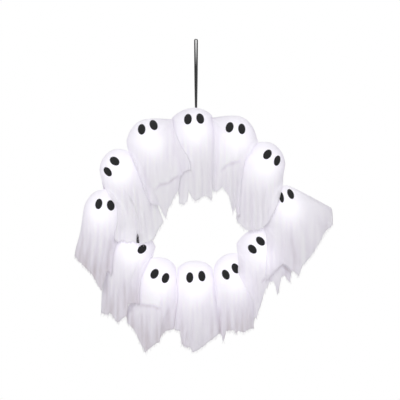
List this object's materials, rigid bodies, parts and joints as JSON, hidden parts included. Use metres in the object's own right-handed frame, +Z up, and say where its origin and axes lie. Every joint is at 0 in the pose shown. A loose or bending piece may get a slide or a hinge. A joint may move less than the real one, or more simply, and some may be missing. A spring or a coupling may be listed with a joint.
{
  "type": "lighted ghost wreath",
  "caption": "Round hanging wreath of ragged white cloth ghosts with black felt eyes over lit balls, on a moulded ring with a battery box, hung by a black ribbon loop.",
  "frame": {"origin": "top of the hanging ribbon loop, in the middle of the ribbon, where a hook or nail carries the wreath", "axes": "+Z up, -Y towards the viewer who faces the ghosts, +X to that viewer's right"},
  "size_m": [0.517, 0.1103, 0.628],
  "materials": {
    "white_plastic": "satin moulded",
    "lit_ball": "frosted, lit from inside",
    "cloth": "thin white gauze with raw torn hems",
    "felt": "matt black felt",
    "satin": "black satin ribbon",
    "wire": "clear insulation and moulded lamps",
    "zinc_steel": "zinc plated",
    "cell_sleeve": "printed sleeve, left plain",
    "switch_plastic": "black moulded"
  },
  "bodies": {
    "wreath": {"ring_frame": "white_plastic", "battery_cover": "white_plastic", "cover_screw": "zinc_steel", "battery_1": "cell_sleeve", "battery_2": "cell_sleeve", "battery_3": "cell_sleeve", "light_string": "wire", "hanging_ribbon": "satin", "ball_01": "lit_ball", "ball_02": "lit_ball", "ball_03": "lit_ball", "ball_04": "lit_ball", "ball_05": "lit_ball", "ball_06": "lit_ball", "ball_07": "lit_ball", "ball_08": "lit_ball", "ball_09": "lit_ball", "ball_10": "lit_ball", "ball_11": "lit_ball", "ball_12": "lit_ball", "drape_01": "cloth", "drape_02": "cloth", "drape_03": "cloth", "drape_04": "cloth", "drape_05": "cloth", "drape_06": "cloth", "drape_07": "cloth", "drape_08": "cloth", "drape_09": "cloth", "drape_10": "cloth", "drape_11": "cloth", "drape_12": "cloth", "eye_01_left": "felt", "eye_01_right": "felt", "eye_02_left": "felt", "eye_02_right": "felt", "eye_03_left": "felt", "eye_03_right": "felt", "eye_04_left": "felt", "eye_04_right": "felt", "eye_05_left": "felt", "eye_05_right": "felt", "eye_06_left": "felt", "eye_06_right": "felt", "eye_07_left": "felt", "eye_07_right": "felt", "eye_08_left": "felt", "eye_08_right": "felt", "eye_09_left": "felt", "eye_09_right": "felt", "eye_10_left": "felt", "eye_10_right": "felt", "eye_11_left": "felt", "eye_11_right": "felt", "eye_12_left": "felt", "eye_12_right": "felt"},
    "switch": {"switch_knob": "switch_plastic"}
  },
  "joints": [
    {"name": "switch_slide", "type": "slide", "parent": "wreath", "child": "switch", "axis": [1, 0, 0], "range_m": [-0.002, 0.002]}
  ]
}
